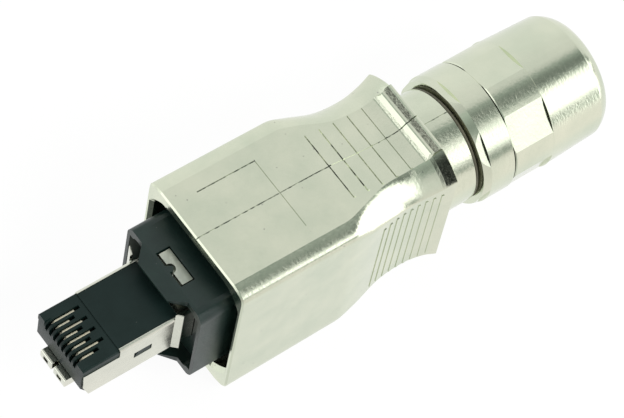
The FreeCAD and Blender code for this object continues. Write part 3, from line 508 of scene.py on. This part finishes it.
# %% Neck seal
# Corners of the section as distance along the axis and radius, in millimetres
SEAL_SECTION = [(69.43, 7.75), (69.43, 8.75), (69.50, 9.12), (69.60, 9.32), (69.72, 9.42),
                (69.88, 9.42), (70.00, 9.32), (70.10, 9.12), (70.17, 8.75), (70.17, 7.75)]
seal_olive = make_plastic("olive_seal_rubber", (0.175, 0.165, 0.120), (0.115, 0.110, 0.080),
                          0.5, 0.7, 0.3, 3200)[0]


def spin_section(section, steps=96):
    """A ring about the X axis from a closed section of (x, r) in millimetres."""
    select_none()
    bpy.ops.mesh.primitive_circle_add(vertices=len(section), radius=0.001, location=(0, 0, 0))
    piece = bpy.context.object
    for vertex, (x, r) in zip(piece.data.vertices, section):
        vertex.co = (x * MM, 0, r * MM)
    bpy.ops.object.mode_set(mode="EDIT")
    bpy.ops.mesh.select_all(action="SELECT")
    bpy.ops.mesh.spin(steps=steps, angle=math.tau, center=(0, 0, 0), axis=(1, 0, 0))
    bpy.ops.object.mode_set(mode="OBJECT")
    outward(piece)
    return piece


neck_lip = spin_section(SEAL_SECTION)
finish_piece(neck_lip, "neck_seal_lip", "hood", seal_olive)
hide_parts("neck_seal")

# %% [markdown]
# The upper cover's front tab carries a raised pad that fills the frame's window and holds
# the frame on the cover. It is a block with its top edges rounded over, and its front is
# cut back round the tooth that the frame's window has.

# %% Pad in the frame's window
PAD_AT = (0.01977, 0, 0.00825)
PAD_SIZE = (0.0019, 0.0060, 0.0013)
TOOTH_AT = (0.01885, 0.00015, 0.0085)
TOOTH_R = 0.00085
select_none()
bpy.ops.mesh.primitive_cube_add(size=1, location=PAD_AT)
pad = bpy.context.object
pad.scale = PAD_SIZE
bpy.ops.object.transform_apply(location=False, rotation=False, scale=True)
bpy.ops.mesh.primitive_cylinder_add(vertices=24, radius=TOOTH_R, depth=0.004,
                                    location=TOOTH_AT)
cutter = bpy.context.object
apply_modifier(pad, "BOOLEAN", object=cutter, operation="DIFFERENCE", solver="EXACT")
bpy.data.objects.remove(cutter)
apply_modifier(pad, "BEVEL", width=0.00016, segments=3, limit_method="ANGLE",
               angle_limit=math.radians(50))
finish_piece(pad, "cover_window_pad", "carrier", bare_casting, 40)

# %% [markdown]
# Moulded, folded and cast parts never have knife edges. One modifier welds the loose
# triangles of a part, one joins the flat ones to whole faces, one rounds the edges by
# between a twentieth and a third of a millimetre, and one weighs the normals by face
# size, so that flat faces stay flat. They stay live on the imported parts, whose own meshes
# are left alone.

# %% Soft edges on the moulded parts
EDGE_ROUNDING = {"latch_frame": 0.0003, "plug_body": 0.00011, "plug_shield": 0.00005,
                 "inner_cover_upper": 0.0001}
for name, width in EDGE_ROUNDING.items():
    part = nodes[name]
    weld = part.modifiers.new("weld", "WELD")
    weld.merge_threshold = 2e-6
    flat = part.modifiers.new("flat", "DECIMATE")
    flat.decimate_type = "DISSOLVE"
    flat.angle_limit = math.radians(1)
    rounding = part.modifiers.new("rounding", "BEVEL")
    rounding.width = width
    rounding.segments = 2
    rounding.limit_method = "ANGLE"
    rounding.angle_limit = math.radians(40)
    rounding.use_clamp_overlap = True
    weighted = part.modifiers.new("flat_faces", "WEIGHTED_NORMAL")
    weighted.keep_sharp = False
    print("rounded", name)

# %% [markdown]
# The gland's thread shows when the nut is screwed back. A thread is one groove wound
# round and round, so a triangle is wound along the axis with a Screw modifier and cut
# out of a copy of the gland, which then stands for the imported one. The triangle's face is
# deleted before it is wound, and the groove's two open ends are filled after it.

# %% Gland with its thread
THREAD_PITCH = 1.5
THREAD_DEPTH = 0.55
THREAD_R = 8.9
THREAD_START_X = 76.9
THREAD_TURNS = 6
THREAD_CREST = 0.12
CUT_OVER = 0.15
select_none()
gland = nodes["gland_body"].copy()
gland.data = gland.data.copy()
bpy.context.collection.objects.link(gland)
gland.parent = None
take(gland)
bpy.ops.mesh.customdata_custom_splitnormals_clear()
outward(gland)
select_none()
bpy.ops.mesh.primitive_circle_add(vertices=3, radius=0.001, fill_type="NGON")
groove = bpy.context.object
bpy.ops.object.mode_set(mode="EDIT")
bpy.ops.mesh.select_all(action="SELECT")
bpy.ops.mesh.delete(type="ONLY_FACE")
bpy.ops.object.mode_set(mode="OBJECT")
half = THREAD_PITCH * 0.5 - THREAD_CREST
corners = [(0, THREAD_R - THREAD_DEPTH), (half, THREAD_R + CUT_OVER),
           (-half, THREAD_R + CUT_OVER)]
for vertex, (x, r) in zip(groove.data.vertices, corners):
    vertex.co = ((THREAD_START_X + x) * MM, 0, r * MM)
apply_modifier(groove, "SCREW", axis="X", angle=math.tau, screw_offset=THREAD_PITCH * MM,
               iterations=THREAD_TURNS, steps=60, render_steps=60, use_merge_vertices=False)
take(groove)
bpy.ops.object.mode_set(mode="EDIT")
bpy.ops.mesh.select_all(action="SELECT")
bpy.ops.mesh.fill_holes(sides=4)
bpy.ops.object.mode_set(mode="OBJECT")
outward(groove)
apply_modifier(gland, "BOOLEAN", object=groove, operation="DIFFERENCE", solver="EXACT")
bpy.data.objects.remove(groove)
finish_piece(gland, "gland_threaded", "hood", turned_nickel, 11)
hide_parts("gland_body")

# %% [markdown]
# When the frame is pushed back into the hood, the two return springs are pressed
# together between it and the step behind them. Each spring is given a mesh of its own
# here.

# %% Return springs
for name in ("return_spring_upper", "return_spring_lower"):
    spring = nodes[name]
    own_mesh(spring)

# %% [markdown]
# The studio is a light tent. The plug is small and bright, so what its plate reflects
# makes the picture: a pale surround, a dark gap along the roof and one strong soft
# window low on the right. The world is drawn by the angle round the plug's long axis, as
# five lists of light. They run from the tip, past the dark front of the tent, to the side
# with the window, and the share of a direction along the axis says which list counts. The
# camera itself sees plain white.

# %% World: light by the angle round the long axis
# Each list holds degrees from straight up towards the right side, and the light there
WINDOW_SIDE = [(-190, 0.97), (-60, 0.97), (-24, 0.88), (-12, 0.85), (-6, 0.76), (1, 0.42),
               (9, 0.26), (17, 0.22), (25, 0.34), (33, 0.9), (41, 1.5), (50, 2.1), (66, 2.1),
               (73, 1.5), (79, 0.65), (85, 0.36), (91, 0.42), (97, 0.93), (103, 1.06),
               (128, 1.05), (150, 1.0), (190, 0.97)]
NEAR_SIDE = [(-190, 0.97), (-60, 1.0), (-24, 0.86), (-8, 0.78), (-3, 0.42), (2, 0.31),
             (8, 0.36), (13, 0.85), (18, 1.12), (23, 1.32), (32, 1.18), (42, 1.08),
             (62, 1.15), (80, 0.95), (95, 0.86), (125, 0.86), (148, 1.0), (158, 0.94),
             (190, 0.97)]
MIDDLE = [(-190, 0.97), (-60, 0.95), (-24, 0.86), (-8, 0.70), (4, 0.58), (14, 0.45), (24, 0.36),
          (34, 0.45), (44, 0.75), (56, 0.87), (100, 0.90), (130, 0.97), (190, 0.97)]
FRONT = [(-190, 0.97), (-60, 1.2), (-45, 1.25), (-30, 0.85), (-20, 0.5), (-8, 0.40), (8, 0.28),
         (16, 0.12), (26, 0.04), (38, 0.02), (100, 0.03), (125, 0.5), (145, 0.85), (190, 0.95)]
TIP = [(-190, 0.97), (-60, 0.97), (-20, 0.7), (30, 0.5), (110, 0.6), (150, 0.9), (190, 0.95)]
# Where one list gives way to the next, as shares along the axis
BORDERS = [(-0.72, -0.58, FRONT), (-0.27, -0.15, MIDDLE), (0.29, 0.34, NEAR_SIDE),
           (0.388, 0.402, WINDOW_SIDE)]
BAND_SPAN = 380.0
WARM_BELOW = 1.05
GREEN_SHADE = 1.06
SHADE_LIGHT = 0.6


def band_ramp(tree, share, bands):
    """A colour ramp round the axis, from a list of degrees and light."""
    node = add_node(tree, "ShaderNodeValToRGB")
    node.color_ramp.interpolation = "EASE"
    stops = node.color_ramp.elements
    for i, (degrees, light) in enumerate(bands):
        place = degrees / BAND_SPAN + 0.5
        stop = stops[i] if i < 2 else stops.new(place)
        stop.position = place
        warm = WARM_BELOW if 90 < degrees < 140 else 1.0
        green = GREEN_SHADE if light < SHADE_LIGHT else 1.0
        stop.color = (light * warm / green, light * green, light, 1)
    join(tree, share, node.inputs["Fac"])
    return node.outputs["Color"]


def step_between(tree, value, start, end):
    """0 before start and 1 after end, with a soft step between them."""
    node = add_node(tree, "ShaderNodeMapRange", interpolation_type="SMOOTHSTEP", From_Min=start,
                    From_Max=end)
    join(tree, value, node.inputs["Value"])
    return node.outputs["Result"]


world = bpy.data.worlds.new("light_tent")
bpy.context.scene.world = world
world.use_nodes = True
tree = world.node_tree
tree.nodes.clear()
direction = add_node(tree, "ShaderNodeTexCoord")
split = add_node(tree, "ShaderNodeSeparateXYZ")
join(tree, direction.outputs["Generated"], split.inputs[0])
minus_y = math_node(tree, "MULTIPLY", split.outputs["Y"], -1.0)
angle = math_node(tree, "ARCTAN2", minus_y, split.outputs["Z"])
share = math_node(tree, "ADD", math_node(tree, "DIVIDE", angle, math.radians(BAND_SPAN)), 0.5)
tent_light = band_ramp(tree, share, TIP)
for start, end, bands in BORDERS:
    border = step_between(tree, split.outputs["X"], start, end)
    tent_light = mix_colours(tree, border, tent_light, band_ramp(tree, share, bands))
print("lists of light", 1 + len(BORDERS))

# %% [markdown]
# Small things in the studio are round cards laid over those bands: two bright ones, which
# are the rear part of the window and light the plug's waist, a bright one in front and a
# small dark one above it. A card counts by how close a direction is to its middle.

# %% World: round cards
def round_card(tree, below, toward, inner, outer, light):
    """Lay a round card over the light below: full to the inner angle, gone at the outer."""
    near = add_node(tree, "ShaderNodeVectorMath", operation="DOT_PRODUCT")
    join(tree, direction.outputs["Generated"], near.inputs[0])
    near.inputs[1].default_value = Vector(toward).normalized()
    mask = step_between(tree, near.outputs["Value"], math.cos(math.radians(outer)),
                        math.cos(math.radians(inner)))
    return mix_colours(tree, mask, below, (light, light, light))


CARDS = [((0.80, -0.46, 0.386), 23, 26, 2.0),
         ((0.80, -0.60, 0.0), 19, 23, 2.0),
         ((-0.82, 0.35, 0.45), 15, 24, 1.55),
         ((-0.566, 0.355, 0.744), 6, 9, 0.10)]
for card in CARDS:
    tent_light = round_card(tree, tent_light, *card)
tent = add_node(tree, "ShaderNodeBackground", Strength=1.0)
plain = add_node(tree, "ShaderNodeBackground", Color=(1, 1, 1, 1), Strength=1.0)
rays = add_node(tree, "ShaderNodeLightPath")
choose = add_node(tree, "ShaderNodeMixShader")
result = add_node(tree, "ShaderNodeOutputWorld")
join(tree, tent_light, tent.inputs["Color"])
join(tree, rays.outputs["Is Camera Ray"], choose.inputs[0])
join(tree, tent.outputs[0], choose.inputs[1])
join(tree, plain.outputs[0], choose.inputs[2])
join(tree, choose.outputs[0], result.inputs["Surface"])
print("cards", len(CARDS))

# %% [markdown]
# The floor is a sheet of white paper under the lowest point of the hood. The camera sees
# it as plain white with a trace of lit paper in it, so that the plug keeps a faint
# shadow. The plate doesn't mirror the sheet, because the tent's light, which is drawn all
# round, already stands for what is below.

# %% Floor
FLOOR_Z = nodes["hood"].bound_box[0][2]
PAPER_WIDTH = 4.0
PAPER_GLOW = 1.03
PLAIN_SHARE = 0.9
bpy.ops.object.select_all(action="DESELECT")
bpy.ops.mesh.primitive_plane_add(size=PAPER_WIDTH, location=(0.04, 0, FLOOR_Z))
floor = bpy.context.object
floor.name = "floor_paper"
floor.visible_glossy = False
material = bpy.data.materials.new("white_paper")
material.use_nodes = True
tree = material.node_tree
shader = tree.nodes["Principled BSDF"]
shader.inputs["Base Color"].default_value = (0.86, 0.86, 0.85, 1)
shader.inputs["Roughness"].default_value = 0.9
glow = add_node(tree, "ShaderNodeEmission", Color=(1, 1, 1, 1), Strength=PAPER_GLOW)
rays = add_node(tree, "ShaderNodeLightPath")
blend = add_node(tree, "ShaderNodeMixShader")
plain_share = math_node(tree, "MULTIPLY", rays.outputs["Is Camera Ray"], PLAIN_SHARE)
join(tree, plain_share, blend.inputs[0])
join(tree, shader.outputs[0], blend.inputs[1])
join(tree, glow.outputs[0], blend.inputs[2])
join(tree, blend.outputs[0], tree.nodes["Material Output"].inputs["Surface"])
floor.data.materials.append(material)
print("floor at z", round(FLOOR_Z, 5))

# %% [markdown]
# One large soft lamp stands on the bright side and lights the paper and the plastic. It
# isn't seen in reflections, where the tent alone counts.

# %% Lamp
LAMP_AT = Vector((0.15, -0.55, 0.45))
LAMP_AIM = Vector((0.04, 0, 0))
LAMP_WIDTH = 0.4
LAMP_POWER = 3.0
bpy.ops.object.select_all(action="DESELECT")
bpy.ops.object.light_add(type="AREA", location=LAMP_AT)
lamp = bpy.context.object
lamp.name = "side_lamp"
lamp.data.shape = "SQUARE"
lamp.data.size = LAMP_WIDTH
lamp.data.energy = LAMP_POWER
lamp.visible_glossy = False
lamp.rotation_euler = (LAMP_AIM - LAMP_AT).to_track_quat("-Z", "Y").to_euler()
print("lamp", lamp.name)
